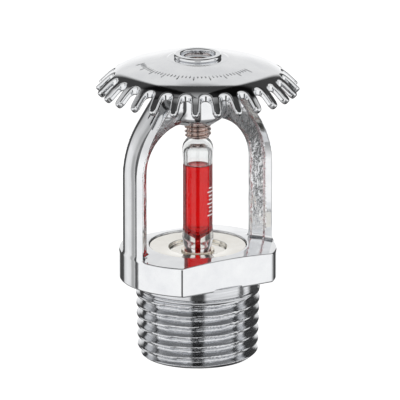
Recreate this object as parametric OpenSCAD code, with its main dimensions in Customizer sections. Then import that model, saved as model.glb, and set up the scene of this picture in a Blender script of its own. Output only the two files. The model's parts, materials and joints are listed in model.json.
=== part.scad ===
// Upright glass-bulb fire sprinkler head.
// Origin: centre of the inlet end face. +Z runs along the water axis to the deflector.
// The two frame arms lie in the XZ plane, and the wrench flats face +Y and -Y.

/* [Inlet thread] */
// Outside diameter of the R 1/2 pipe thread, over the crests
thread_d = 20.955; // [20:0.005:22]
// Thread pitch, 14 turns to the inch
thread_pitch = 1.814; // [1.5:0.001:2]
// Depth of the thread, crest to root
thread_depth = 1.16; // [0.6:0.01:1.3]
// Length of the threaded shank
thread_len = 11.8; // [9:0.1:14]
// Length of the plain neck between the thread and the boss
neck_len = 1.8; // [1:0.1:4]
// Bore of the inlet
inlet_d = 14; // [13.2:0.1:15]
// Depth of the inlet bore, from the end face
inlet_depth = 11; // [6:0.5:12]
// Bore of the orifice, above the inlet bore
orifice_d = 12.7; // [9:0.1:13]

/* [Wrench boss] */
// Diameter of the round boss, flush with the outside of the arms
boss_d = 26.6; // [26:0.1:30]
// Height of the boss at its rim
boss_h = 5.05; // [4:0.05:7]
// Distance across the two wrench flats
flats_w = 20; // [19:0.1:24]
// Rise of the boss top from its rim to the seat collar
collar_rise = 0.5; // [0.3:0.05:1]
// Inside diameter of the seat collar
seat_d = 16.5; // [16:0.05:17.5]
// Depth of the valve seat below the collar
seat_depth = 0.95; // [0.9:0.05:1.2]

/* [Frame arms] */
// Width of the rim along the outside of each arm
rim_w = 7; // [6:0.1:7.6]
// Thickness of the rim
rim_t = 1; // [0.6:0.05:1.2]
// Width of the web inside the rim
web_w = 4.4; // [3:0.1:5]
// Width of the web's bevelled inside edge
web_edge_w = 1; // [0.6:0.1:2]
// Thickness of an arm, inside edge to outside face
arm_t = 3.15; // [2.9:0.05:3.4]
// Height of the arms' straight legs above the inlet face
leg_top = 32; // [30:0.1:34]
// Radius of the outside shoulder of each arm
shoulder_r = 16.5; // [15:0.1:18]
// Radius of the inside arch
arch_r = 8; // [7.6:0.1:8.2]
// Height of the inside arch's centres above the inlet face
arch_z = 32.8; // [32.4:0.1:33]

/* [Hub] */
// Diameter of the hub that joins the arms
hub_d = 9; // [8:0.1:10]
// Height of the hub's shoulder, where the deflector sits
hub_top = 50.45; // [50:0.05:52]
// Height of the hub's nose end, around the load screw
nose_z = 40.3; // [40:0.1:40.6]
// Diameter of the swaged flange over the deflector
flange_d = 8; // [7.6:0.1:9]
// Height of the swaged flange
flange_h = 0.75; // [0.5:0.05:1.2]

/* [Deflector] */
// Diameter over the tips of the teeth
deflector_d = 34.4; // [30:0.1:40]
// Number of teeth, which is also the number of slots
teeth = 28; // [20:1:30]
// Sheet thickness
deflector_t = 1.2; // [0.8:0.1:1.4]
// Radius of the dome
dome_r = 40; // [35:1:60]
// Radius where the rim starts to turn down
rim_start = 12; // [11.5:0.1:12.5]
// Bend radius of the rim
rim_bend = 9; // [8:0.1:10]
// Angle of the teeth below level
tooth_angle = 45; // [35:1:50]
// Width of a slot at its inner end
slot_w = 1.75; // [1.2:0.05:1.8]
// Distance from the axis to the inner end of a slot
slot_start = 13.9; // [13.5:0.1:14.5]

/* [Load screw] */
// Thread diameter of the load screw
screw_d = 4.5; // [4:0.1:4.8]
// Thread pitch of the load screw
screw_pitch = 0.75; // [0.5:0.05:0.8]
// Length of the load screw
screw_len = 13.2; // [12:0.1:13.2]
// Width of the driver slot in its top end
driver_slot_w = 0.7; // [0.5:0.05:0.9]
// Direction of the driver slot, from +X
driver_slot_angle = 60; // [0:1:180]

/* [Glass bulb] */
// Diameter of the bulb's barrel
bulb_d = 5; // [4.6:0.1:5.2]
// Diameter of the bulb's swollen ends
bulb_end_d = 5.28; // [5.2:0.02:5.4]
// Glass wall thickness along the barrel
bulb_wall = 0.55; // [0.4:0.05:0.8]
// Height of the liquid's surface above the inlet face
liquid_top = 33.2; // [30:0.1:34.5]

/* [Hidden] */
$fn = 96;

// Overlap of joined shapes, and how far a cutting shape reaches past the face it cuts
EPS = 0.01;
CUT = 1;

// Running gap between the load screw and its hole, and the small gaps between fitted faces
run_gap = 0.05;
fit_gap = 0.02;
liquid_gap = 0.01;

// Heights up the frame
boss_z = thread_len + neck_len;
boss_top = boss_z + boss_h;
collar_z = boss_top + collar_rise;
seat_z = collar_z - seat_depth;
collar_land = 0.4;
leg_in_x = boss_d / 2 - arm_t;
shoulder_x = boss_d / 2 - shoulder_r;
shoulder_steps = 8;
arch_x = leg_in_x - arch_r;

// The shoulder's arc ends at this angle, where the straight roof up to the hub starts
roof_angle = 34;
arm_root = 4;
arm_base_z = boss_top - arm_root;

// Thread ends
thread_land = 0.25;
thread_chamfer = 0.9;
neck_step = 0.28;
neck_r = thread_d / 2 - neck_step;

// Hub bore and its swaged end
screw_hole_r = screw_d / 2 + run_gap;
tube_r = 3.4;
tube_bore_r = 2.9;
tube_floor = 0.8;
tube_floor_z = hub_top + tube_floor;
flange_z = hub_top + deflector_t;
flange_edge = 0.2;
nose_r = 2.7;
nose_h = 1.3;

// Deflector shape: flat centre pad, dome, turned-down rim, straight teeth
pad_r = 5;
pad_hole_r = tube_r + run_gap;
dome_top = flange_z + dome_r - sqrt(dome_r * dome_r - pad_r * pad_r);
pad_angle = asin(pad_r / dome_r);
rim_angle = asin(rim_start / dome_r);
dome_steps = 5;
bend_steps = 6;
rim_z = dome_top - dome_r + dome_r * cos(rim_angle);
bend_end_r = rim_start + rim_bend * (sin(tooth_angle) - sin(rim_angle));
bend_end_z = rim_z - rim_bend * (cos(rim_angle) - cos(tooth_angle));
tip_r = deflector_d / 2;
tip_z = bend_end_z - (tip_r - bend_end_r) * tan(tooth_angle);
slot_flare = 1.45;
slot_end_r = 2 * tip_r - slot_start;
slot_tilt = 32;
slot_cut_h = 16;
slot_facets = 32;

// Glass bulb: two spheres at the tail, one at the head
tail_z = 20.3;
tip_ball_z = 19.2;
tip_ball_r = 2.35;
head_z = 35.7;
end_r = bulb_end_d / 2;
cavity_r = bulb_d / 2 - bulb_wall;
cavity_top_z = 35;
cone_top_z = 21.6;
cone_bottom_z = 19.9;
capillary_r = 0.3;
capillary_z = 17.8;
pip_r = 0.8;
pip_top_z = 38.65;
pip_gap = 0.15;

// Load screw ends
screw_z = 37.9;
screw_thread_depth = 0.4;
screw_root_r = screw_d / 2 - screw_thread_depth;
screw_chamfer = 0.4;
screw_land = 0.12;
screw_top_z = screw_z + screw_len;
driver_slot_depth = 0.8;

// Valve parts
disc_gap = 0.1;
disc_drop = 0.2;
disc_r = seat_d / 2 - disc_gap;
disc_t = 0.45;
disc_top_z = collar_z - disc_drop;
dish_r = 4.9;
dish_floor_z = 18.05;
dish_rim_z = 18.65;
dish_rise = 0.05;
disc_hole_r = 2.5;
button_stem_r = disc_hole_r - fit_gap;
button_head_r = 2.8;
button_bottom_z = 16.2;
button_top_z = 18.3;
button_edge = 0.3;
gasket_t = 0.19;
gasket_in_r = 7;

// Half section of a threaded rod from z = low to z = high, as points [radius, height]
function thread_points(crest_r, root_r, pitch, low, high, chamfer, land) =
    let (turns = floor((high - low - 2 * chamfer) / pitch),
         start = high - chamfer - turns * pitch,
         flank = (pitch - 2 * land) / 2)
    concat(
        [[0, low], [crest_r - chamfer, low], [crest_r, low + chamfer]],
        [for (i = [0 : turns - 1])
            let (z = start + i * pitch)
            each [[crest_r, z + EPS], [root_r, z + flank], [root_r, z + flank + land],
                  [crest_r, z + 2 * flank + land]]],
        [[crest_r, high], [0, high]]);

// Half section of the deflector's sheet between its top face and an offset below it
function dome_arc(drop, steps) = [for (i = [0 : steps])
    let (a = pad_angle + (rim_angle - pad_angle) * i / steps)
    [(dome_r - drop) * sin(a), dome_top - dome_r + (dome_r - drop) * cos(a)]];

function bend_arc(drop, steps) = [for (i = [1 : steps])
    let (a = rim_angle + (tooth_angle - rim_angle) * i / steps)
    [rim_start + rim_bend * (sin(a) - sin(rim_angle)) - drop * sin(a),
     rim_z - rim_bend * (cos(rim_angle) - cos(a)) - drop * cos(a)]];

// Straight threaded rod
module threaded_rod(crest_r, root_r, pitch, low, high, chamfer, land) {
    rotate_extrude()
        polygon(thread_points(crest_r, root_r, pitch, low, high, chamfer, land));
}

// Half section of the arms' outside, an even distance inside their faces: straight legs from a height
// up, rounded shoulders, straight roof up to the hub
module outside_section(inset, low) {
    arc_r = shoulder_r - inset;
    roof_x = shoulder_x + arc_r * cos(roof_angle);
    roof_z = leg_top + arc_r * sin(roof_angle);
    roof_top_z = roof_z + (roof_x - hub_d / 2) / tan(roof_angle);
    polygon(concat(
        [[0, low], [boss_d / 2 - inset, low]],
        [for (i = [0 : shoulder_steps])
            let (a = roof_angle * i / shoulder_steps)
            [shoulder_x + arc_r * cos(a), leg_top + arc_r * sin(a)]],
        [[hub_d / 2, roof_top_z], [0, roof_top_z]]));
}

// Opening between the arms, widened at 45 degrees to each side of the webs' inside edges
module arch_opening() {
    edge = web_edge_w / 2;
    side = web_w / 2 + EPS;
    widening = side - edge;
    translate([0, 0, boss_z])
        linear_extrude(height = arch_z - boss_z)
            polygon([[leg_in_x, -edge], [leg_in_x, edge], [leg_in_x + widening, side],
                     [-leg_in_x - widening, side], [-leg_in_x, edge], [-leg_in_x, -edge],
                     [-leg_in_x - widening, -side], [leg_in_x + widening, -side]]);
    translate([-arch_x, 0, arch_z])
        rotate([90, 0, 90])
            linear_extrude(height = 2 * arch_x)
                polygon([[-side, 0], [side, 0], [side, arch_r + widening], [edge, arch_r],
                         [-edge, arch_r], [-side, arch_r + widening]]);
    for (turn = [0, 180])
        rotate([0, 0, turn])
            translate([arch_x, 0, arch_z])
                rotate([90, 0, 0])
                    rotate_extrude(angle = 90)
                        polygon([[0, -side], [arch_r + widening, -side], [arch_r, -edge], [arch_r, edge],
                                 [arch_r + widening, side], [0, side]]);
}

// Arms of T section: a web with a bevelled inside edge, and a wider rim along the outside
module arms() {
    difference() {
        intersection() {
            rotate_extrude()
                outside_section(rim_t / 2, arm_base_z);
            translate([-boss_d / 2, -web_w / 2, 0])
                cube([boss_d, web_w, hub_top]);
        }
        arch_opening();
    }
    intersection() {
        rotate_extrude()
            difference() {
                outside_section(0, arm_base_z);
                outside_section(rim_t, arm_base_z - CUT);
            }
        translate([-boss_d / 2 - CUT, -rim_w / 2, 0])
            cube([boss_d + 2 * CUT, rim_w, hub_top]);
    }
}

// Round boss with its wrench flats and sloping top
module boss() {
    intersection() {
        rotate_extrude()
            polygon([[0, boss_z], [boss_d / 2, boss_z], [boss_d / 2, boss_top],
                     [seat_d / 2 + collar_land, collar_z], [0, collar_z]]);
        translate([-boss_d / 2, -flats_w / 2, boss_z])
            cube([boss_d, flats_w, boss_h + collar_rise]);
    }
}

// Hub, nose, tube through the deflector and swaged flange
module hub() {
    rotate_extrude()
        polygon([[0, nose_z], [nose_r, nose_z], [hub_d / 2, nose_z + nose_h], [hub_d / 2, hub_top],
                 [tube_r, hub_top], [tube_r, flange_z], [flange_d / 2 - flange_edge, flange_z],
                 [flange_d / 2, flange_z + flange_edge],
                 [flange_d / 2, flange_z + flange_h - flange_edge],
                 [flange_d / 2 - flange_edge, flange_z + flange_h], [0, flange_z + flange_h]]);
}

// Waterway and valve seat: inlet bore, cone, orifice and the seat's recess
module waterway() {
    rotate_extrude()
        polygon([[0, -CUT], [inlet_d / 2, -CUT], [inlet_d / 2, inlet_depth],
                 [orifice_d / 2, inlet_depth + (inlet_d - orifice_d) / 2], [orifice_d / 2, seat_z],
                 [seat_d / 2, seat_z], [seat_d / 2, collar_z + CUT], [0, collar_z + CUT]]);
}

module frame() {
    color("silver")
        difference() {
            union() {
                threaded_rod(thread_d / 2, thread_d / 2 - thread_depth, thread_pitch, 0, thread_len,
                             thread_chamfer, thread_land);
                translate([0, 0, thread_len - EPS])
                    cylinder(r = neck_r, h = neck_len + 2 * EPS);
                boss();
                arms();
                hub();
            }
            waterway();
            translate([0, 0, nose_z - CUT])
                cylinder(r = screw_hole_r, h = hub_top);
            translate([0, 0, tube_floor_z])
                cylinder(r = tube_bore_r, h = flange_z + flange_h + CUT - tube_floor_z);
        }
}

// Outline of one slot, seen from above: round inner end, flaring outwards
module slot_outline() {
    translate([slot_start + slot_w / 2, 0])
        circle(d = slot_w, $fn = slot_facets);
    polygon([[slot_start + slot_w / 2, -slot_w / 2], [slot_end_r, -slot_w * slot_flare / 2],
             [slot_end_r, slot_w * slot_flare / 2], [slot_start + slot_w / 2, slot_w / 2]]);
}

module deflector() {
    color("gainsboro")
        difference() {
            rotate_extrude()
                polygon(concat(
                    [[pad_hole_r, hub_top], [pad_hole_r, flange_z], [pad_r, flange_z]],
                    dome_arc(0, dome_steps), bend_arc(0, bend_steps), [[tip_r, tip_z]],
                    [[tip_r - deflector_t * sin(tooth_angle), tip_z - deflector_t * cos(tooth_angle)]],
                    [for (i = [bend_steps - 1 : -1 : 0]) bend_arc(deflector_t, bend_steps)[i]],
                    [for (i = [dome_steps : -1 : 1]) dome_arc(deflector_t, dome_steps)[i]],
                    [[pad_r, hub_top]]));
            for (i = [0 : teeth - 1])
                rotate([0, 0, i * 360 / teeth])
                    translate([slot_start, 0, rim_z])
                        rotate([0, slot_tilt, 0])
                            translate([-slot_start, 0, -slot_cut_h / 2])
                                linear_extrude(height = slot_cut_h)
                                    slot_outline();
        }
}

module load_screw() {
    color("peru")
        difference() {
            threaded_rod(screw_d / 2, screw_root_r, screw_pitch, screw_z, screw_top_z, screw_chamfer,
                         screw_land);
            translate([0, 0, head_z])
                sphere(r = end_r + fit_gap);
            translate([0, 0, head_z])
                cylinder(r = pip_r + pip_gap, h = pip_top_z - head_z + pip_gap);
            rotate([0, 0, driver_slot_angle])
                translate([-screw_d, -driver_slot_w / 2, screw_top_z - driver_slot_depth])
                    cube([2 * screw_d, driver_slot_w, driver_slot_depth + CUT]);
        }
}

// Hollow inside the bulb, smaller all round by the gap, up to a height
module bulb_hollow(gap) {
    rotate_extrude()
        polygon([[0, capillary_z + gap], [capillary_r - gap, capillary_z + gap],
                 [capillary_r - gap, cone_bottom_z], [cavity_r - gap, cone_top_z],
                 [cavity_r - gap, cavity_top_z], [0, cavity_top_z]]);
}

module glass_bulb() {
    color("white", 0.5)
        difference() {
            union() {
                translate([0, 0, tip_ball_z])
                    sphere(r = tip_ball_r);
                translate([0, 0, tail_z])
                    sphere(r = end_r);
                translate([0, 0, tail_z])
                    cylinder(d = bulb_d, h = head_z - tail_z);
                translate([0, 0, head_z])
                    sphere(r = end_r);
                translate([0, 0, head_z])
                    cylinder(r = pip_r, h = pip_top_z - head_z);
            }
            bulb_hollow(0);
            translate([0, 0, cavity_top_z])
                sphere(r = cavity_r);
        }
}

module bulb_liquid() {
    color("red")
        intersection() {
            bulb_hollow(liquid_gap);
            cylinder(r = bulb_d, h = liquid_top);
        }
}

// Turned cup that carries the bulb's tail
module button() {
    color("goldenrod")
        difference() {
            rotate_extrude()
                polygon([[0, button_bottom_z], [button_stem_r - button_edge, button_bottom_z],
                         [button_stem_r, button_bottom_z + button_edge], [button_stem_r, dish_floor_z],
                         [button_head_r, dish_floor_z], [button_head_r, button_top_z], [0, button_top_z]]);
            translate([0, 0, tip_ball_z])
                sphere(r = tip_ball_r + fit_gap);
        }
}

// Dished spring washer that closes the waterway
module spring_disc() {
    color("ivory")
        rotate_extrude()
            polygon([[disc_hole_r, dish_floor_z - disc_t], [dish_r + disc_t, dish_floor_z - disc_t],
                     [dish_r + disc_t, dish_rim_z - disc_t + dish_rise], [disc_r, disc_top_z - disc_t],
                     [disc_r, disc_top_z], [dish_r, dish_rim_z], [dish_r, dish_floor_z],
                     [disc_hole_r, dish_floor_z]]);
}

module seat_gasket() {
    color("white")
        translate([0, 0, seat_z])
            difference() {
                cylinder(r = disc_r, h = gasket_t);
                translate([0, 0, -CUT])
                    cylinder(r = gasket_in_r, h = gasket_t + 2 * CUT);
            }
}

frame();
deflector();
load_screw();
glass_bulb();
bulb_liquid();
button();
spring_disc();
seat_gasket();
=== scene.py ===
import json
import math

import bpy
import numpy as np
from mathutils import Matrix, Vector


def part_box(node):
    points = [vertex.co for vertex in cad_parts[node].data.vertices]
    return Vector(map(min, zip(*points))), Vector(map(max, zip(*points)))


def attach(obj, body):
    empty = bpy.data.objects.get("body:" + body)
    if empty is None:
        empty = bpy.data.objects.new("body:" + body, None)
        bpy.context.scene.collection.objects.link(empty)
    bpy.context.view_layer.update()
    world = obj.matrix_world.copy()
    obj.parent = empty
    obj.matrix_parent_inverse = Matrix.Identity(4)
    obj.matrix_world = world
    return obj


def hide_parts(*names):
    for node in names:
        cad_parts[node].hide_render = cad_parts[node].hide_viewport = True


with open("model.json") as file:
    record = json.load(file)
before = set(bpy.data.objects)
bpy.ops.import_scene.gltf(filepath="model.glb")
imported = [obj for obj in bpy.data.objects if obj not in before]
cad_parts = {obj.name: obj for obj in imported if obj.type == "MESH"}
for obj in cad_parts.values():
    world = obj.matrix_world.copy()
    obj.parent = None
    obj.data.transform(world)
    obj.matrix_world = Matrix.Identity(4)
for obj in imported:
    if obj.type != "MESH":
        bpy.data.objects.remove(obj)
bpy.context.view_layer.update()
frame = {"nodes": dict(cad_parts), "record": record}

# Shapes are worked out in millimetres, in the frame's own axes, and scaled to metres as a mesh is made.
MM = 0.001
TURN = 2 * math.pi
CAMERA_AZIMUTH = -30.8
CAMERA_ELEVATION = 16.7


def box_mm(node):
    """Lowest and highest corner of a CAD node, in millimetres."""
    low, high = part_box(node)
    return low / MM, high / MM


mounts = {m["name"]: m for m in frame["record"]["mounts"]}
frame_high = box_mm("frame")[1]
disc_high = box_mm("spring_disc")[1]
button_low, button_high = box_mm("button")
glass_low, glass_high = box_mm("glass_bulb")
liquid_low, liquid_high = box_mm("bulb_liquid")
screw_low, screw_high = box_mm("load_screw")

# Inlet thread and bore
THREAD_R = mounts["inlet_thread"]["dims"]["r_mm"]
THREAD_PITCH = 1.814
THREAD_DEPTH = 1.16
THREAD_TOP = 11.8
THREAD_END = THREAD_TOP + 0.35
THREAD_RUN_OUT = 0.9
THREAD_TAPER = 1 / 32
THREAD_LEAD_IN = 1.15
NECK_R = THREAD_R - 0.12
INLET_R = mounts["inlet_bore"]["dims"]["r_mm"]
INLET_CONE_Z = 11
ORIFICE_R = 6.35

# Distance across a 45 degree flank, as a share of the distance along the radius
FLANK = 0.7

# Boss, with the collar round the valve seat
BOSS_R = frame_high.x
FLAT_Y = mounts["wrench_flat_back"]["pos_m"][1] / MM
BOSS_Z = 13.6
BOSS_TOP = 18.65
COLLAR_Z = BOSS_TOP + 0.5
COLLAR_LAND = 0.4
SEAT_R = disc_high.x + 0.1
SEAT_Z = 18.2

# Arms: a T in section, with a rim outside and a web inside
ARM_Z = BOSS_Z + 2
ARM_T = 3.15
RIM_HALF_W = 3.5
RIM_LAND = 1.95
RIM_SLANT = 1.0
RIM_BEVEL = 0.13
WEB_HALF_W = 2.2
WEB_EDGE = 0.5
WEB_BEVEL = 0.65
LEG_TOP = 32.0
SHOULDER_R = 16.5
ROOF_ANGLE = math.radians(34)
ARCH_R = 8.0
ARCH_Z = 32.8
ARCH_X = BOSS_R - ARM_T - ARCH_R

# Hub
HUB_R = 4.5
HUB_TOP = 50.45
NOSE_R = 2.7
NOSE_Z = 40.3
NOSE_H = 1.3
HUB_BORE_R = screw_high.x + 0.05

# Deflector sheet: a flat pad, a dome, a bend and straight teeth
SHEET_T = 1.2
SHEET_TOP = HUB_TOP + SHEET_T
TUBE_R = 3.4
PAD_R = 5.0
TEETH = 28
TIP_R = 17.2
DOME_R = 40.0
DOME_CENTRE_Z = SHEET_TOP - math.sqrt(DOME_R ** 2 - PAD_R ** 2)
RIM_R = 12.0
RIM_ANGLE = math.asin(RIM_R / DOME_R)
RIM_Z = DOME_CENTRE_Z + DOME_R * math.cos(RIM_ANGLE)
BEND_R = 9.0
TOOTH_ANGLE = math.radians(45)


# ---------------------------------------------------------------- mesh tools

def smooth_max(a, b, width):
    """Larger of two fields, rounded over a width where they cross."""
    share = np.clip(0.5 + 0.5 * (a - b) / width, 0, 1)
    return b + (a - b) * share + width * share * (1 - share)


def smooth_min(a, b, width):
    """Smaller of two fields, rounded over a width where they cross."""
    return -smooth_max(-a, -b, width)


def gradient(field, points, reach=0.02):
    """Slope of a field at points, by central differences."""
    slopes = []
    for axis in np.eye(3) * reach:
        ahead, behind = points + axis, points - axis
        slopes.append(field(*ahead.T) - field(*behind.T))
    return np.stack(slopes, axis=1) / (2 * reach)


def unit(vectors):
    """Vectors scaled to a length of one."""
    return vectors / np.maximum(np.linalg.norm(vectors, axis=1, keepdims=True), 1e-12)


def limited(vectors, longest):
    """Vectors shortened to a greatest length."""
    return vectors * np.minimum(1, longest / np.maximum(np.linalg.norm(vectors, axis=1, keepdims=True), 1e-9))


def contour(field, low, high, step):
    """Closed quad mesh of the surface where a field is zero, by dual contouring: points, quads, normals."""
    axes = [np.arange(a, b + step, step) for a, b in zip(low, high)]
    slab = 16
    value = np.concatenate(
        [field(*np.meshgrid(axes[0], axes[1], axes[2][k:k + slab], indexing="ij"))
         for k in range(0, len(axes[2]), slab)], axis=2)
    inside = value < 0
    origin = np.array([a[0] for a in axes])
    shape = np.array(value.shape)

    # Each grid edge that crosses the surface gives a quad between the four cells around it
    cells, crossings, slopes = [], [], []
    for axis in range(3):
        along = np.eye(3, dtype=int)[axis]
        first = tuple(slice(0, -1) if i == axis else slice(1, -1) for i in range(3))
        second = tuple(slice(1, None) if i == axis else slice(1, -1) for i in range(3))
        at = np.argwhere(inside[first] != inside[second]) + (1 - along)
        a, b = value[tuple(at.T)], value[tuple((at + along).T)]
        points = origin + (at + (a / (a - b))[:, None] * along) * step
        side_b, side_c = (np.eye(3, dtype=int)[(axis + k) % 3] for k in (1, 2))
        around = [at, at - side_b, at - side_b - side_c, at - side_c]
        ring = np.stack([np.ravel_multi_index(tuple(c.T), shape) for c in around], axis=1)
        ring[~inside[tuple(at.T)]] = ring[~inside[tuple(at.T)]][:, ::-1]
        cells.append(ring)
        crossings.append(points)
        slopes.append(unit(gradient(field, points)))
    rings = np.concatenate(cells)
    points = np.repeat(np.concatenate(crossings), 4, axis=0)
    normals = np.repeat(np.concatenate(slopes), 4, axis=0)
    _, quads = np.unique(rings, return_inverse=True)
    quads = quads.reshape(rings.shape)
    owner = quads.ravel()
    count = np.bincount(owner)

    def total(values):
        return np.bincount(owner, values, len(count))

    # Each cell's vertex is placed where the tangent planes at its crossings meet best, held to their middle
    middle = np.stack([total(points[:, i]) for i in range(3)], axis=1) / count[:, None]
    offset = points - middle[owner]
    hold = 0.05
    matrix = np.zeros((len(count), 3, 3))
    right = np.zeros((len(count), 3))
    for i in range(3):
        right[:, i] = total(normals[:, i] * np.einsum("ij,ij->i", normals, offset))
        for j in range(3):
            matrix[:, i, j] = total(normals[:, i] * normals[:, j]) + hold * (i == j)
    shift = np.linalg.solve(matrix, right[:, :, None])[:, :, 0]
    vertices = middle + limited(shift, step)

    # Each vertex is moved onto the surface itself
    slope = gradient(field, vertices)
    size = np.maximum(np.einsum("ij,ij->i", slope, slope), 1e-6)
    nudge = -(field(*vertices.T) / size)[:, None] * slope
    vertices += limited(nudge, 0.3 * step)
    return vertices, quads, unit(gradient(field, vertices))


def quad_mesh(name, points, quads):
    """Mesh in metres from points in millimetres and an array of quads."""
    mesh = bpy.data.meshes.new(name)
    mesh.vertices.add(len(points))
    mesh.vertices.foreach_set("co", (np.asarray(points) * MM).astype(np.float32).ravel())
    mesh.loops.add(quads.size)
    mesh.loops.foreach_set("vertex_index", quads.astype(np.int32).ravel())
    mesh.polygons.add(len(quads))
    mesh.polygons.foreach_set("loop_start", np.arange(0, quads.size, 4, dtype=np.int32))
    mesh.update(calc_edges=True)
    mesh.polygons.foreach_set("use_smooth", np.ones(len(quads), bool))
    return mesh


def list_mesh(name, points, faces, smooth=True):
    """Mesh in metres from lists of points in millimetres and of faces of any size."""
    mesh = bpy.data.meshes.new(name)
    mesh.from_pydata([Vector(p) * MM for p in points], [], faces)
    mesh.update()
    mesh.polygons.foreach_set("use_smooth", np.full(len(faces), smooth))
    return mesh


def add_piece(name, mesh, body, material, stands_for=()):
    """Object that rides on a CAD body, takes a material and may stand for CAD nodes."""
    piece = bpy.data.objects.new(name, mesh)
    bpy.context.scene.collection.objects.link(piece)
    mesh.materials.append(material)
    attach(piece, body)
    if stands_for:
        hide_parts(*stands_for)


def grid(full):
    return full


def contour_mesh(name, field, reach, heights, step, cast=None):
    """Mesh of a field within a reach (x, y) of the axis and between two heights, with the field's own normals
    and, where asked for, a cast-texture share per point."""
    low, high = (-reach[0], -reach[1], heights[0]), (*reach, heights[1])
    points, quads, normals = contour(field, low, high, step)
    mesh = quad_mesh(name, points, quads)
    if cast is not None:
        share = mesh.attributes.new("cast", "FLOAT", "POINT")
        share.data.foreach_set("value", cast(points).astype(np.float32))
    mesh.normals_split_custom_set_from_vertices(normals)
    return mesh


def rounded(corners, steps=5):
    """Outline of (r, z, fillet) corners, in order, with each corner's fillet as an arc."""
    outline = []
    for i, (r, z, fillet) in enumerate(corners):
        here = np.array([r, z])
        if fillet == 0:
            outline.append(here)
            continue
        before = np.array(corners[i - 1][:2]) - here
        after = np.array(corners[(i + 1) % len(corners)][:2]) - here
        before /= np.linalg.norm(before)
        after /= np.linalg.norm(after)
        half = math.acos(np.clip(before @ after, -1, 1)) / 2
        centre = here + (before + after) / np.linalg.norm(before + after) * fillet / math.sin(half)
        start = here + before * fillet / math.tan(half) - centre
        end = here + after * fillet / math.tan(half) - centre
        sweep = math.acos(np.clip(start @ end / fillet ** 2, -1, 1))
        for k in range(steps + 1):
            share = k / steps
            weights = math.sin((1 - share) * sweep), math.sin(share * sweep)
            outline.append(centre + (start * weights[0] + end * weights[1]) / math.sin(sweep))
    return outline


def lathe(name, outline, segments=128, closed=True):
    """Mesh of revolution about Z. A closed outline is a ring in section, and an open one starts and ends on
    the axis."""
    angles = np.arange(segments) / segments * TURN
    points, rows = [], []
    for r, z in outline:
        if r < 1e-6:
            rows.append([len(points)] * segments)
            points.append((0, 0, z))
            continue
        rows.append(list(range(len(points), len(points) + segments)))
        points += [(r * math.cos(a), r * math.sin(a), z) for a in angles]
    faces = []
    for i in range(len(rows) if closed else len(rows) - 1):
        upper, lower = rows[(i + 1) % len(rows)], rows[i]
        for k in range(segments):
            nxt = (k + 1) % segments
            ring = [lower[k], lower[nxt], upper[nxt], upper[k]]
            faces.append(list(dict.fromkeys(ring)))
    return list_mesh(name, points, faces)


def join(name, meshes):
    """One mesh holding the separate solids of several."""
    points, faces = [], []
    for mesh in meshes:
        base = len(points)
        points += [v.co.copy() for v in mesh.vertices]
        faces += [[base + v for v in polygon.vertices] for polygon in mesh.polygons]
    joined = bpy.data.meshes.new(name)
    joined.from_pydata(points, [], faces)
    joined.update()
    joined.polygons.foreach_set("use_smooth", np.ones(len(faces), bool))
    return joined


# ------------------------------------------------------------------- shapes

def outside_field(radius, z):
    """Outside of the arms, as a shape of revolution: straight legs, shoulders, then a straight roof."""
    across = radius - (BOSS_R - SHOULDER_R)
    up = z - LEG_TOP
    angle = np.clip(np.arctan2(up, across), 0, ROOF_ANGLE)
    return across * np.cos(angle) + up * np.sin(angle) - SHOULDER_R


def arch_field(x, z):
    """Opening between the arms: straight below, with two arcs and a flat crown above."""
    across = np.maximum(np.abs(x) - ARCH_X, 0)
    up = np.maximum(z - ARCH_Z, 0)
    return np.hypot(across, up) - ARCH_R


def casting_field(x, y, z):
    """Boss, arms and hub of the frame, with the valve seat cut in."""
    radius = np.hypot(x, y)
    ripple_depth = 0.012
    ripple = np.sin(1.9 * x + 0.7 * z) * np.sin(2.3 * y + 1.1)
    ripple = ripple_depth * (ripple + np.sin(1.3 * z + 2.1 * y) * np.sin(1.7 * x))
    outside = outside_field(radius, z)
    from_arch = arch_field(x, z)
    side = np.abs(y)
    rim = (side - RIM_HALF_W - RIM_SLANT * outside) / math.hypot(1, RIM_SLANT)
    rim = smooth_max(rim, -outside - (RIM_HALF_W - WEB_HALF_W) / RIM_SLANT, 0.1)
    web = (side - WEB_EDGE - WEB_BEVEL * from_arch) / math.hypot(1, WEB_BEVEL) + ripple
    web = smooth_max(side - WEB_HALF_W, web, 0.3)
    web = smooth_max(web, -from_arch + ripple, 0.35)
    arms = smooth_max(smooth_min(rim, web, 0.12), ARM_Z - z, 0.2)
    arms = smooth_max(arms, outside + RIM_BEVEL * np.maximum(side - RIM_LAND, 0), 0.05)
    collar_w = BOSS_R - SEAT_R - COLLAR_LAND
    slope = (COLLAR_Z - BOSS_TOP) / collar_w
    top = z - BOSS_TOP - np.clip(BOSS_R - radius, 0, collar_w) * slope
    boss = smooth_max(top, BOSS_Z - z, 0.2)
    boss = smooth_max(boss, np.abs(y) - FLAT_Y, 0.2)
    body = smooth_min(arms, boss, 0.7)
    body = smooth_max(body, outside, 0.3)
    nose = (radius - NOSE_R) * NOSE_H - (z - NOSE_Z) * (HUB_R - NOSE_R)
    nose /= math.hypot(NOSE_H, HUB_R - NOSE_R)
    hub = smooth_max(smooth_max(radius - HUB_R, z - HUB_TOP, 0.3), nose, 0.5)
    hub = smooth_max(hub, NOSE_Z - z, 0.3)
    body = smooth_min(body, hub, 1.0)
    body = smooth_max(body, z - HUB_TOP, 0.2)
    in_hub = z > (COLLAR_Z + NOSE_Z) / 2
    bore = radius - np.where(in_hub, HUB_BORE_R, ORIFICE_R)
    seat = np.where(in_hub, radius, smooth_max(radius - SEAT_R, SEAT_Z - z, 0.1))
    return smooth_max(body, -np.minimum(bore, seat), 0.15)


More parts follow.
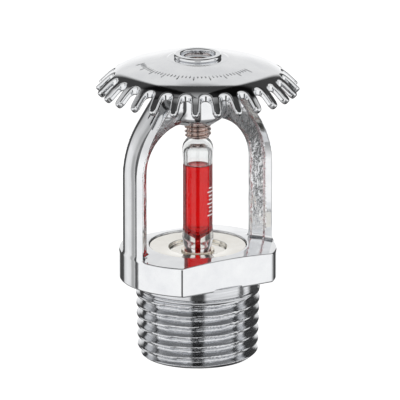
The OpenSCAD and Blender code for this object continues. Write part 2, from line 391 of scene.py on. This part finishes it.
def casting_texture(points):
    """Share of cast texture: full on the webs, slight on the hub, next to none on the rims and the boss."""
    x, y, z = points.T
    radius = np.hypot(x, y)
    inside_rim = np.clip((-outside_field(radius, z) - 0.6) / 0.3, 0, 1)
    inside_rim *= np.clip((WEB_HALF_W + 0.3 - np.abs(y)) / 0.2, 0, 1)
    above_boss = np.clip((z - COLLAR_Z - 0.4) / 0.6, 0.03, 1)
    off_hub = np.clip((radius - HUB_R) / 2.5, 0.15, 1)
    return inside_rim * above_boss * off_hub


def thread_radius(x, y, z, crest_r, depth, pitch, land=0.16):
    """Radius of a right-hand V thread at a point's angle and height."""
    turn = z / pitch - np.arctan2(y, x) / TURN
    phase = np.abs((turn - np.floor(turn)) * 2 - 1)
    return crest_r - depth * np.clip((phase - land) / (1 - 2 * land), 0, 1)


def shank_field(x, y, z):
    """Threaded inlet and neck, down to the inlet bore and its cone."""
    radius = np.hypot(x, y)
    crest = np.minimum(THREAD_R - (THREAD_TOP - z) * THREAD_TAPER, THREAD_R)
    depth = THREAD_DEPTH * np.clip((THREAD_END - z) / THREAD_RUN_OUT, 0, 1)
    outside = thread_radius(x, y, z, crest, depth, THREAD_PITCH)
    outside = np.where(z > THREAD_END, NECK_R, outside)
    body = (radius - outside) * FLANK
    body = smooth_max(body, (radius - (THREAD_R - THREAD_LEAD_IN) - z) * FLANK, 0.15)
    body = smooth_max(body, -z, 0.15)
    body = smooth_max(body, z - BOSS_Z - 0.5, 0.1)
    cone = np.clip(z - INLET_CONE_Z, 0, INLET_R - ORIFICE_R)
    return smooth_max(body, INLET_R - cone - radius, 0.2)


def sheet_top_field(radius, z):
    """Distance above the deflector's top face: dome, bend, then straight teeth."""
    centre_r = RIM_R - BEND_R * math.sin(RIM_ANGLE)
    centre_z = RIM_Z - BEND_R * math.cos(RIM_ANGLE)
    angle = np.arctan2(radius - centre_r, z - centre_z)
    dome = np.hypot(radius, z - DOME_CENTRE_Z) - DOME_R
    turn = np.clip(angle, RIM_ANGLE, TOOTH_ANGLE)
    bend = (radius - centre_r) * np.sin(turn) + (z - centre_z) * np.cos(turn) - BEND_R
    return np.where(angle < RIM_ANGLE, dome, bend)


def deflector_field(x, y, z):
    """Pressed sheet with its slots, rounded teeth and centre hole."""
    radius = np.hypot(x, y)
    above = sheet_top_field(radius, z)
    sheet = smooth_max(above, -above - SHEET_T, 0.2)
    sheet = smooth_max(sheet, z - SHEET_TOP, 0.2)
    pad = smooth_max(smooth_max(z - SHEET_TOP, HUB_TOP - z, 0.1), radius - PAD_R, 0.3)
    sheet = smooth_min(sheet, pad, 0.3)
    step = TURN / TEETH
    offset = np.arctan2(y, x) / step
    offset = (offset - np.round(offset)) * step
    slot_start, slot_half, blunt, flare = 13.9, 0.875, 1.2, 0.15
    slot_centre = slot_start + slot_half
    inward = np.minimum(radius - slot_centre, 0) * blunt
    outward = np.maximum(radius - slot_centre, 0)
    slot = np.hypot(inward, radius * np.sin(offset)) - slot_half - outward * flare
    body = smooth_max(sheet, -slot, 0.4)
    bend_end_r = RIM_R + BEND_R * (math.sin(TOOTH_ANGLE) - math.sin(RIM_ANGLE))
    bend_end_z = RIM_Z - BEND_R * (math.cos(RIM_ANGLE) - math.cos(TOOTH_ANGLE))
    along = (radius - bend_end_r) * math.cos(TOOTH_ANGLE) - (z - bend_end_z) * math.sin(TOOTH_ANGLE)
    tip = (TIP_R - bend_end_r) / math.cos(TOOTH_ANGLE)
    tip_round, fall = 0.72, 3
    tooth = radius * np.sin(step / 2 - np.abs(offset))
    past = along - (tip - tip_round)
    end = np.hypot(np.maximum(past, 0), tooth) - tip_round + fall * np.minimum(past, 0)
    body = smooth_max(body, end, 0.4)
    return smooth_max(body, TUBE_R + 0.05 - radius, 0.1)


def screw_field(x, y, z):
    """Load screw: right-hand thread, cup for the bulb's head, driver slot in the top end."""
    depth, pitch, end_r = 0.42, 0.75, 1.85
    cup_r, cup_z = 2.68, 35.7
    pocket_r, pocket_z = 0.9, 38.9
    slot_angle, slot_half, slot_depth = math.radians(60), 0.35, 0.8
    radius = np.hypot(x, y)
    chamfer = np.maximum(radius - end_r, 0)
    body = (radius - thread_radius(x, y, z, screw_high.x, depth, pitch)) * FLANK
    body = smooth_max(body, screw_low.z - z + chamfer, 0.1)
    body = smooth_max(body, z - screw_high.z + chamfer, 0.1)
    ball = np.sqrt(radius ** 2 + (z - cup_z) ** 2) - cup_r
    pocket = np.maximum(radius - pocket_r, z - pocket_z)
    across = np.abs(x * math.sin(slot_angle) - y * math.cos(slot_angle)) - slot_half
    slot = np.maximum(across, screw_high.z - slot_depth - z)
    return smooth_max(body, -np.minimum(np.minimum(ball, pocket), slot), 0.1)


def swage_outline():
    """Tube through the deflector and the flange rolled over it, in section."""
    flange_r, mouth_r = 4.0, 2.9
    foot, step = HUB_TOP - 0.6, HUB_TOP + 0.8
    return rounded([(HUB_BORE_R, foot, 0), (TUBE_R, foot, 0), (TUBE_R, SHEET_TOP, 0.05),
                    (flange_r, SHEET_TOP, 0.3), (flange_r, frame_high.z, 0.34), (mouth_r, frame_high.z, 0.3),
                    (mouth_r, step, 0.1), (HUB_BORE_R, step, 0.1)])


def disc_outline():
    """Dished spring disc, in section."""
    hole_r, dish_r, sheet = 2.5, 4.9, 0.45
    floor, rim = 18.05, 18.65
    return rounded([(hole_r, floor - sheet, 0.1), (dish_r + sheet, floor - sheet, 0.25),
                    (dish_r + sheet, rim - sheet + 0.05, 0.1), (disc_high.x, disc_high.z - sheet, 0.15),
                    (disc_high.x, disc_high.z, 0.15), (dish_r, rim, 0.14), (dish_r, floor, 0.12),
                    (hole_r, floor, 0.05)])


def button_outline():
    """Turned button with the cup for the bulb's tail, in section from the axis and back."""
    ball_z, ball_r, cuts = 19.2, 2.37, 12
    head_r, stem_r = button_high.x, 2.48
    floor = 18.05
    rim_r = math.sqrt(ball_r ** 2 - (ball_z - button_high.z) ** 2)
    outside = rounded([(0, button_low.z, 0), (stem_r, button_low.z, 0.3), (stem_r, floor, 0.05),
                       (head_r, floor, 0.06), (head_r, button_high.z, 0.08), (rim_r, button_high.z, 0)])
    end = math.asin(rim_r / ball_r)
    cup = [(ball_r * math.sin(end * (1 - k / cuts)), ball_z - ball_r * math.cos(end * (1 - k / cuts)))
           for k in range(1, cuts + 1)]
    return [tuple(p) for p in outside] + cup


def curve_through(knots, steps=6):
    """Smooth outline through (r, z) knots, by Catmull-Rom."""
    knots = [np.array(k, float) for k in knots]
    ends = [2 * knots[0] - knots[1]] + knots + [2 * knots[-1] - knots[-2]]
    outline = []
    for a, b, c, d in zip(ends, ends[1:], ends[2:], ends[3:]):
        for k in range(steps):
            t = k / steps
            outline.append(0.5 * (2 * b + (c - a) * t + (2 * a - 5 * b + 4 * c - d) * t ** 2
                                  + (3 * b - a - 3 * c + d) * t ** 3))
    outline.append(knots[-1])
    return [(max(r, 0.0), z) for r, z in outline]


def bulb_outside():
    """Outside of the glass: rounded tail, swollen ends, straight barrel, sealed head."""
    barrel, swell = 2.5, glass_high.x - 0.01
    low, high = glass_low.z, glass_high.z
    tail = [(0, 0), (0.7, 0.12), (1.5, 0.72), (2.12, 1.5), (2.42, 2.4), (swell, 3.5), (2.55, 4.5),
            (barrel, 5.6), (barrel, 8)]
    head = [(barrel, 8), (barrel, 5.4), (2.55, 4.2), (swell, 3.0), (2.47, 1.95), (1.95, 1.15),
            (1.25, 0.62), (0.85, 0.3), (0.5, 0.06), (0, 0)]
    return curve_through([(r, low + z) for r, z in tail] + [(r, high - z) for r, z in head])


def bulb_hollow(grow=0.0, top=None):
    """Hollow in the glass, from the thin channel in the tail up to a height, grown by an amount."""
    wall_r = liquid_high.x + 0.01
    low, cone_z, crown = liquid_low.z, 20.0, 36.6
    channel_r = 0.27 + grow
    lower = [(0, low - grow), (channel_r, low - grow), (channel_r, cone_z)]
    lower += curve_through([(0.32 + grow, cone_z + 0.2), (0.85 + grow, cone_z + 0.65),
                            (1.5 + grow, cone_z + 1.2), (wall_r - 0.06 + grow, cone_z + 1.7),
                            (wall_r + grow, cone_z + 2.2)], 4)
    if top is not None:
        return lower + [(wall_r + grow, top - 0.25), (wall_r + grow - 0.02, top),
                        (wall_r - 0.3, top - 0.16), (wall_r - 0.8, top - 0.22), (0, top - 0.24)]
    return lower + curve_through([(wall_r, crown - 2.0), (wall_r, crown - 1.2), (wall_r - 0.3, crown - 0.5),
                                  (1.0, crown - 0.08), (0, crown)], 5)


def tick_mesh(length, width, height):
    """Rounded bar lying along X on the XY plane, in millimetres."""
    sides, rings, end_swell = 12, 7, 0.05
    points = []
    for i in range(rings):
        t = -1 + 2 * i / (rings - 1)
        swell = math.sqrt(1 - abs(t) ** 3) if abs(t) < 1 else end_swell
        for k in range(sides):
            a = k / sides * TURN
            points.append((t * length / 2, math.cos(a) * width / 2 * swell, math.sin(a) * height * swell))
    faces = []
    for base in range(0, (rings - 1) * sides, sides):
        for k in range(sides):
            nxt = (k + 1) % sides
            faces.append([base + k, base + nxt, base + sides + nxt, base + sides + k])
    faces.append(list(range(sides))[::-1])
    faces.append([(rings - 1) * sides + k for k in range(sides)])
    return np.array(points), faces


def deflector_ticks():
    """Ring of plain raised strokes on the front of the dome, alternately long and short."""
    camera_angle = -90 + CAMERA_AZIMUTH
    strokes, first, last = 36, -84, 60
    width, height = 0.24, 0.09
    points, faces = [], []
    for i in range(strokes + 1):
        length, middle = (1.7, 9.7) if i % 4 == 0 else (0.95, 9.3)
        bar, quads = tick_mesh(length, width, height)
        tilt = math.asin(middle / DOME_R)
        sin, cos = math.sin(tilt), math.cos(tilt)
        bar = bar @ np.array([[cos, 0, -sin], [0, 1, 0], [sin, 0, cos]])
        bar = bar + (middle, 0, DOME_CENTRE_Z + math.sqrt(DOME_R ** 2 - middle ** 2))
        turn = math.radians(camera_angle + first + (last - first) * i / strokes)
        sin, cos = math.sin(turn), math.cos(turn)
        bar = bar @ np.array([[cos, sin, 0], [-sin, cos, 0], [0, 0, 1]])
        base = len(points)
        points += list(bar)
        faces += [[base + v for v in q] for q in quads]
    return list_mesh("deflector_ticks", points, faces)


def bulb_ticks():
    """Column of plain printed strokes on the bulb's barrel, each a thin curved plate."""
    middle = math.radians(-90 + CAMERA_AZIMUTH + 58)
    inner, outer, half_h = 2.492, 2.52, 0.11
    strokes, cuts, first_z, apart = 8, 8, 24.6, 0.68
    points, faces = [], []
    for i in range(strokes):
        half = 0.30 if i % 3 == 0 else 0.17
        z = first_z + i * apart
        base = len(points)
        for k in range(cuts + 1):
            a = middle + half * (2 * k / cuts - 1)
            for r, dz in ((inner, -half_h), (outer, -half_h), (outer, half_h), (inner, half_h)):
                points.append((r * math.cos(a), r * math.sin(a), z + dz))
        for k in range(cuts):
            for c in range(4):
                here, there = base + 4 * k, base + 4 * k + 4
                faces.append([here + c, here + (c + 1) % 4, there + (c + 1) % 4, there + c][::-1])
        faces.append([base + c for c in range(4)])
        faces.append([base + 4 * cuts + c for c in (3, 2, 1, 0)])
    return list_mesh("bulb_ticks", points, faces, smooth=False)


# ---------------------------------------------------------------- materials

class Shader:
    """A node material with one Principled shader, whose patterns are sized in millimetres."""

    def __init__(self, name, **inputs):
        self.material = bpy.data.materials.new(name)
        self.material.use_nodes = True
        self.tree = self.material.node_tree
        self.bsdf = self.tree.nodes["Principled BSDF"]
        for key, value in inputs.items():
            self.bsdf.inputs[key.replace("_", " ")].default_value = value
        coordinates = self.tree.nodes.new("ShaderNodeTexCoord")
        self.mm = self.node("ShaderNodeVectorMath", operation="SCALE")
        self.mm.inputs["Scale"].default_value = 1 / MM
        self.link(coordinates.outputs["Object"], self.mm.inputs[0])

    def node(self, kind, **settings):
        made = self.tree.nodes.new(kind)
        for key, value in settings.items():
            setattr(made, key, value)
        return made

    def link(self, a, b):
        self.tree.links.new(a, b)

    def noise(self, scale, detail=3.0, stretch=(1, 1, 1)):
        """Noise pattern, with scale in cycles per millimetre along each axis."""
        mapping = self.node("ShaderNodeMapping")
        mapping.inputs["Scale"].default_value = stretch
        self.link(self.mm.outputs[0], mapping.inputs["Vector"])
        noise = self.node("ShaderNodeTexNoise")
        noise.inputs["Scale"].default_value = scale
        noise.inputs["Detail"].default_value = detail
        self.link(mapping.outputs[0], noise.inputs["Vector"])
        return noise.outputs["Fac"]

    def spread(self, value, low, high, start=0.3, end=0.7):
        """Value between start and end, spread from low to high."""
        spread = self.node("ShaderNodeMapRange")
        for key, number in (("From Min", start), ("From Max", end), ("To Min", low), ("To Max", high)):
            spread.inputs[key].default_value = number
        self.link(value, spread.inputs["Value"])
        return spread.outputs["Result"]

    def maths(self, operation, a, b):
        """Result of a sum on two values, each a number or a socket."""
        made = self.node("ShaderNodeMath", operation=operation)
        for socket, value in zip(made.inputs, (a, b)):
            if isinstance(value, (int, float)):
                socket.default_value = value
            else:
                self.link(value, socket)
        return made.outputs[0]

    def tint(self, value, colour_a, colour_b):
        """Colour between two, by a value."""
        mix = self.node("ShaderNodeMix", data_type="RGBA")
        self.link(value, mix.inputs["Factor"])
        mix.inputs["A"].default_value = (*colour_a, 1)
        mix.inputs["B"].default_value = (*colour_b, 1)
        return mix.outputs["Result"]

    def bump(self, height, strength, distance, under=None):
        """Bump over an earlier one, with distance in millimetres."""
        bump = self.node("ShaderNodeBump")
        bump.inputs["Distance"].default_value = distance * MM
        if isinstance(strength, (int, float)):
            bump.inputs["Strength"].default_value = strength
        else:
            self.link(strength, bump.inputs["Strength"])
        self.link(height, bump.inputs["Height"])
        if under is not None:
            self.link(under, bump.inputs["Normal"])
        return bump.outputs["Normal"]

    def set(self, name, socket):
        self.link(socket, self.bsdf.inputs[name])


def chrome_casting():
    """Chrome over a casting: bright outside, pitted where the cast share is high."""
    s = Shader("chrome_casting", Metallic=1.0)
    cast = s.node("ShaderNodeAttribute", attribute_name="cast").outputs["Fac"]
    s.set("Base Color", s.tint(s.spread(s.noise(0.35), 0, 1), (0.90, 0.91, 0.92), (0.82, 0.83, 0.85)))
    polish = s.spread(s.noise(0.8, 4), 0.03, 0.08)
    s.set("Roughness", s.maths("ADD", polish, s.maths("MULTIPLY", cast, 0.1)))
    skin = s.bump(s.noise(0.9, 2), 0.2, 0.02)
    waves = s.bump(s.noise(0.6, 2, (1, 1, 0.5)), s.maths("MULTIPLY", cast, 0.9), 0.6, skin)
    pits = s.bump(s.noise(2.2, 6), s.maths("MULTIPLY", cast, 0.9), 0.13, waves)
    s.set("Normal", pits)
    return s.material


def chrome_sheet():
    """Chrome over smooth pressed sheet."""
    s = Shader("chrome_sheet", Metallic=1.0)
    s.set("Base Color", s.tint(s.spread(s.noise(0.3), 0, 1), (0.88, 0.89, 0.9), (0.8, 0.81, 0.83)))
    s.set("Roughness", s.spread(s.noise(0.9, 4), 0.04, 0.09))
    s.set("Normal", s.bump(s.noise(1.0, 2), 0.15, 0.015))
    return s.material


def chrome_thread():
    """Plated thread: turned, so it is duller and streaked round the axis."""
    s = Shader("chrome_thread", Metallic=1.0)
    streaks = s.spread(s.noise(1.0, 4, (0.15, 0.15, 3)), 0, 1)
    s.set("Base Color", s.tint(streaks, (0.82, 0.83, 0.85), (0.58, 0.59, 0.61)))
    s.set("Roughness", s.spread(s.noise(1.0, 4, (0.2, 0.2, 4)), 0.05, 0.12))
    s.set("Normal", s.bump(s.noise(1.0, 4, (0.12, 0.12, 7)), 0.6, 0.03))
    return s.material


def turned_bronze(name, colour, shade):
    """Turned copper alloy with fine tool rings."""
    s = Shader(name, Metallic=1.0)
    s.set("Base Color", s.tint(s.spread(s.noise(1.2, 4), 0, 1), colour, shade))
    s.set("Roughness", s.spread(s.noise(2.0, 3), 0.08, 0.18))
    s.set("Normal", s.bump(s.noise(1.0, 3, (1, 1, 8)), 0.15, 0.015))
    return s.material


def clear_glass():
    """Clear glass, a little grey, with faint draw waves."""
    s = Shader("bulb_glass", Transmission_Weight=1.0, IOR=1.47, Roughness=0.0, Specular_IOR_Level=0.3)
    s.set("Base Color", s.tint(s.spread(s.noise(0.4), 0, 1), (0.94, 0.945, 0.945), (0.92, 0.93, 0.93)))
    s.set("Normal", s.bump(s.noise(0.5, 1), 0.08, 0.02))
    return s.material


def red_liquid():
    """Clear red liquid, a little self-lit so that its core stays red."""
    s = Shader("bulb_liquid", Transmission_Weight=1.0, IOR=1.26, Roughness=0.0, Specular_IOR_Level=0.1,
               Emission_Color=(0.8, 0.01, 0.005, 1), Emission_Strength=0.03)
    s.set("Base Color", s.tint(s.spread(s.noise(0.5), 0, 1), (0.74, 0.003, 0.003), (0.66, 0.002, 0.003)))
    return s.material


def golden_coat():
    """Polished, slightly golden coating of the spring disc."""
    s = Shader("coated_disc", Metallic=1.0)
    s.set("Base Color", s.tint(s.spread(s.noise(0.5, 3), 0, 1), (0.95, 0.93, 0.88), (0.9, 0.87, 0.81)))
    s.set("Roughness", s.spread(s.noise(0.8, 3), 0.08, 0.15))
    s.set("Normal", s.bump(s.noise(0.8, 2), 0.15, 0.015))
    return s.material


def white_film():
    """Matt white PTFE film."""
    s = Shader("ptfe_seal")
    s.set("Base Color", s.tint(s.noise(1.0), (0.92, 0.92, 0.91), (0.84, 0.84, 0.83)))
    s.set("Roughness", s.spread(s.noise(2.0), 0.4, 0.55))
    return s.material


def white_print():
    """Matt white printing ink."""
    s = Shader("printed_white")
    s.set("Base Color", s.tint(s.noise(3.0), (0.95, 0.93, 0.93), (0.82, 0.78, 0.78)))
    s.set("Roughness", s.spread(s.noise(4.0), 0.4, 0.6))
    return s.material


# ------------------------------------------------------------------- pieces

sheet_chrome = chrome_sheet()
screw_bronze = turned_bronze("screw_bronze", (0.72, 0.60, 0.56), (0.56, 0.45, 0.41))
button_bronze = turned_bronze("button_bronze", (0.92, 0.87, 0.78), (0.84, 0.77, 0.66))

casting = contour_mesh("frame_casting", casting_field, (13.9, 10.6), (BOSS_Z - 0.5, HUB_TOP + 0.5),
                       grid(0.18), casting_texture)
add_piece("frame_casting", casting, "frame_assembly", chrome_casting(), ["frame"])
shank = contour_mesh("frame_thread", shank_field, (11, 11), (-0.4, BOSS_Z + 0.9), grid(0.15))
add_piece("frame_thread", shank, "frame_assembly", chrome_thread(), ["frame"])
swage = lathe("frame_swage", swage_outline())
add_piece("frame_swage", swage, "frame_assembly", sheet_chrome, ["frame"])

sheet = contour_mesh("deflector_sheet", deflector_field, (17.6, 17.6), (44.8, 52.2), grid(0.17))
add_piece("deflector_sheet", sheet, "frame_assembly", sheet_chrome, ["deflector"])
add_piece("deflector_ticks", deflector_ticks(), "frame_assembly", sheet_chrome)

screw = contour_mesh("screw", screw_field, (2.5, 2.5), (screw_low.z - 0.3, screw_high.z + 0.3),
                     grid(0.09))
add_piece("screw", screw, "screw", screw_bronze, ["load_screw"])

hollow = lathe("hollow", bulb_hollow(), closed=False)
hollow.flip_normals()
shell = join("bulb_shell", [lathe("outside", bulb_outside(), closed=False), hollow])
add_piece("bulb_shell", shell, "bulb", clear_glass(), ["glass_bulb"])
liquid = lathe("liquid", bulb_hollow(0.03, liquid_high.z), closed=False)
add_piece("liquid", liquid, "bulb", red_liquid(), ["bulb_liquid"])
add_piece("bulb_ticks", bulb_ticks(), "bulb", white_print())

button = lathe("valve_button", button_outline(), closed=False)
add_piece("valve_button", button, "valve", button_bronze, ["button"])
disc = lathe("valve_disc", disc_outline())
add_piece("valve_disc", disc, "valve", golden_coat(), ["spring_disc"])

gasket = frame["nodes"]["seat_gasket"]
gasket.data.materials.clear()
gasket.data.materials.append(white_film())


# ------------------------------------------------------------ floor and light

def pale_floor():
    """Plain pale floor, a little self-lit so that it stays even. Polished metal sees the walls through it."""
    half = 3000
    s = Shader("floor", Roughness=0.9, Emission_Color=(1, 1, 1, 1), Emission_Strength=0.78)
    s.set("Base Color", s.tint(s.noise(0.02), (0.9, 0.9, 0.9), (0.88, 0.88, 0.88)))
    path = s.node("ShaderNodeLightPath")
    clear = s.node("ShaderNodeBsdfTransparent")
    mix = s.node("ShaderNodeMixShader")
    s.link(path.outputs["Is Glossy Ray"], mix.inputs["Fac"])
    s.link(s.bsdf.outputs[0], mix.inputs[1])
    s.link(clear.outputs[0], mix.inputs[2])
    s.link(mix.outputs[0], s.tree.nodes["Material Output"].inputs["Surface"])
    corners = [(-half, -half, 0), (half, -half, 0), (half, half, 0), (-half, half, 0)]
    mesh = list_mesh("floor", corners, [(0, 1, 2, 3)], smooth=False)
    mesh.materials.append(s.material)
    floor = bpy.data.objects.new("floor", mesh)
    bpy.context.scene.collection.objects.link(floor)


def ramp(tree, value, stops):
    """Grey ramp through (place, grey) stops."""
    node = tree.nodes.new("ShaderNodeValToRGB")
    tree.links.new(value, node.inputs["Fac"])
    elements = node.color_ramp.elements
    while len(elements) < len(stops):
        elements.new(0.5)
    for element, (place, grey) in zip(elements, stops):
        element.position = place
        element.color = (grey, grey, grey, 1)
    return node.outputs["Color"]


def studio_world():
    """White walls under a dark ceiling, with dark cards behind the head on both sides, narrow ones beside it,
    and a card at the camera below the horizon."""
    world = bpy.data.worlds.new("studio")
    bpy.context.scene.world = world
    world.use_nodes = True
    tree = world.node_tree

    def node(kind, inputs=(), **settings):
        """Node with its settings, and its inputs given as (socket, number or link) pairs."""
        made = tree.nodes.new(kind)
        for key, value in settings.items():
            setattr(made, key, value)
        for key, value in inputs:
            if isinstance(value, bpy.types.NodeSocket):
                tree.links.new(value, made.inputs[key])
            else:
                made.inputs[key].default_value = value
        return made

    direction = node("ShaderNodeTexCoord").outputs["Generated"]
    turned = node("ShaderNodeVectorRotate",
                  [("Vector", direction), ("Angle", -math.radians(CAMERA_AZIMUTH))], rotation_type="Z_AXIS")
    x, y, z = node("ShaderNodeSeparateXYZ", [(0, turned.outputs["Vector"])]).outputs
    to_camera = node("ShaderNodeMath", [(0, y), (1, -1)], operation="MULTIPLY").outputs[0]
    angle = node("ShaderNodeMath", [(0, x), (1, to_camera)], operation="ARCTAN2").outputs[0]
    place = node("ShaderNodeMapRange",
                 [("Value", angle), ("From Min", -math.pi), ("From Max", math.pi)]).outputs["Result"]
    height = node("ShaderNodeMapRange",
                  [("Value", z), ("From Min", -1), ("From Max", 1)]).outputs["Result"]

    def around(stops):
        """Greys at angles round the head, in degrees from the camera's direction."""
        return ramp(tree, place, [((degrees + 180) / 360, grey) for degrees, grey in stops])

    card, camera_card, dim_card = 0.07, 0.08, 0.15
    below = around([(-162, 1.0), (-158, card), (-139, card), (-134, 0.75), (-125, 0.9), (-116, 0.8),
                    (-112, 0.4), (-107, 0.45), (-105, 0.7), (-104, 0.1), (-99, 0.1), (-96, 1.0),
                    (-16, 1.0), (-12, camera_card), (12, camera_card), (16, 1.0),
                    (82, 1.0), (86, dim_card), (95, dim_card), (99, 1.0),
                    (108, 1.0), (116, card), (158, card), (162, 1.0)])
    above = around([(-162, 1.0), (-158, card), (-140, card), (-134, 0.6), (-124, 0.8), (-116, 0.75),
                    (-111, 0.5), (-105, 0.6), (-104, dim_card), (-99, dim_card), (-96, 1.0),
                    (106, 1.0), (114, card), (158, card), (162, 1.0)])
    horizon = ramp(tree, height, [(0.51, 0.0), (0.54, 1.0)])
    ceiling = ramp(tree, height, [(0.0, 0.2), (0.2, 0.3), (0.32, 0.95), (0.52, 1.0), (0.62, 0.8),
                                  (0.87, 0.74), (0.895, 0.05), (0.97, 0.05), (0.99, 0.25), (1.0, 0.4)])
    walls = node("ShaderNodeMix", [("Factor", horizon), ("A", below), ("B", above)], data_type="RGBA")
    room = node("ShaderNodeMix", [("Factor", 1), ("A", walls.outputs["Result"]), ("B", ceiling)],
                data_type="RGBA", blend_type="MULTIPLY")
    background = tree.nodes["Background"]
    tree.links.new(room.outputs["Result"], background.inputs["Color"])
    background.inputs["Strength"].default_value = 1.05


def add_camera():
    """Long lens at the reference angle, framed on the middle of the head."""
    azimuth, elevation = math.radians(CAMERA_AZIMUTH), math.radians(CAMERA_ELEVATION)
    back = Vector((math.sin(azimuth) * math.cos(elevation), -math.cos(azimuth) * math.cos(elevation),
                   math.sin(elevation)))
    right = Vector((math.cos(azimuth), math.sin(azimuth), 0))
    width, distance, sensor = 67.2, 1400, 36
    middle_z, aside = 26.8, 0.37
    camera = bpy.data.objects.new("camera", bpy.data.cameras.new("camera"))
    camera.data.sensor_width = sensor
    camera.data.lens = sensor * distance / width
    camera.data.clip_end = 20
    target = Vector((0, 0, middle_z)) + right * aside
    camera.location = (target + back * distance) * MM
    camera.rotation_mode = "QUATERNION"
    camera.rotation_quaternion = (-back).to_track_quat("-Z", "Y")
    bpy.context.scene.collection.objects.link(camera)
    bpy.context.scene.camera = camera


pale_floor()
studio_world()
add_camera()
bpy.context.scene.view_settings.view_transform = "Standard"
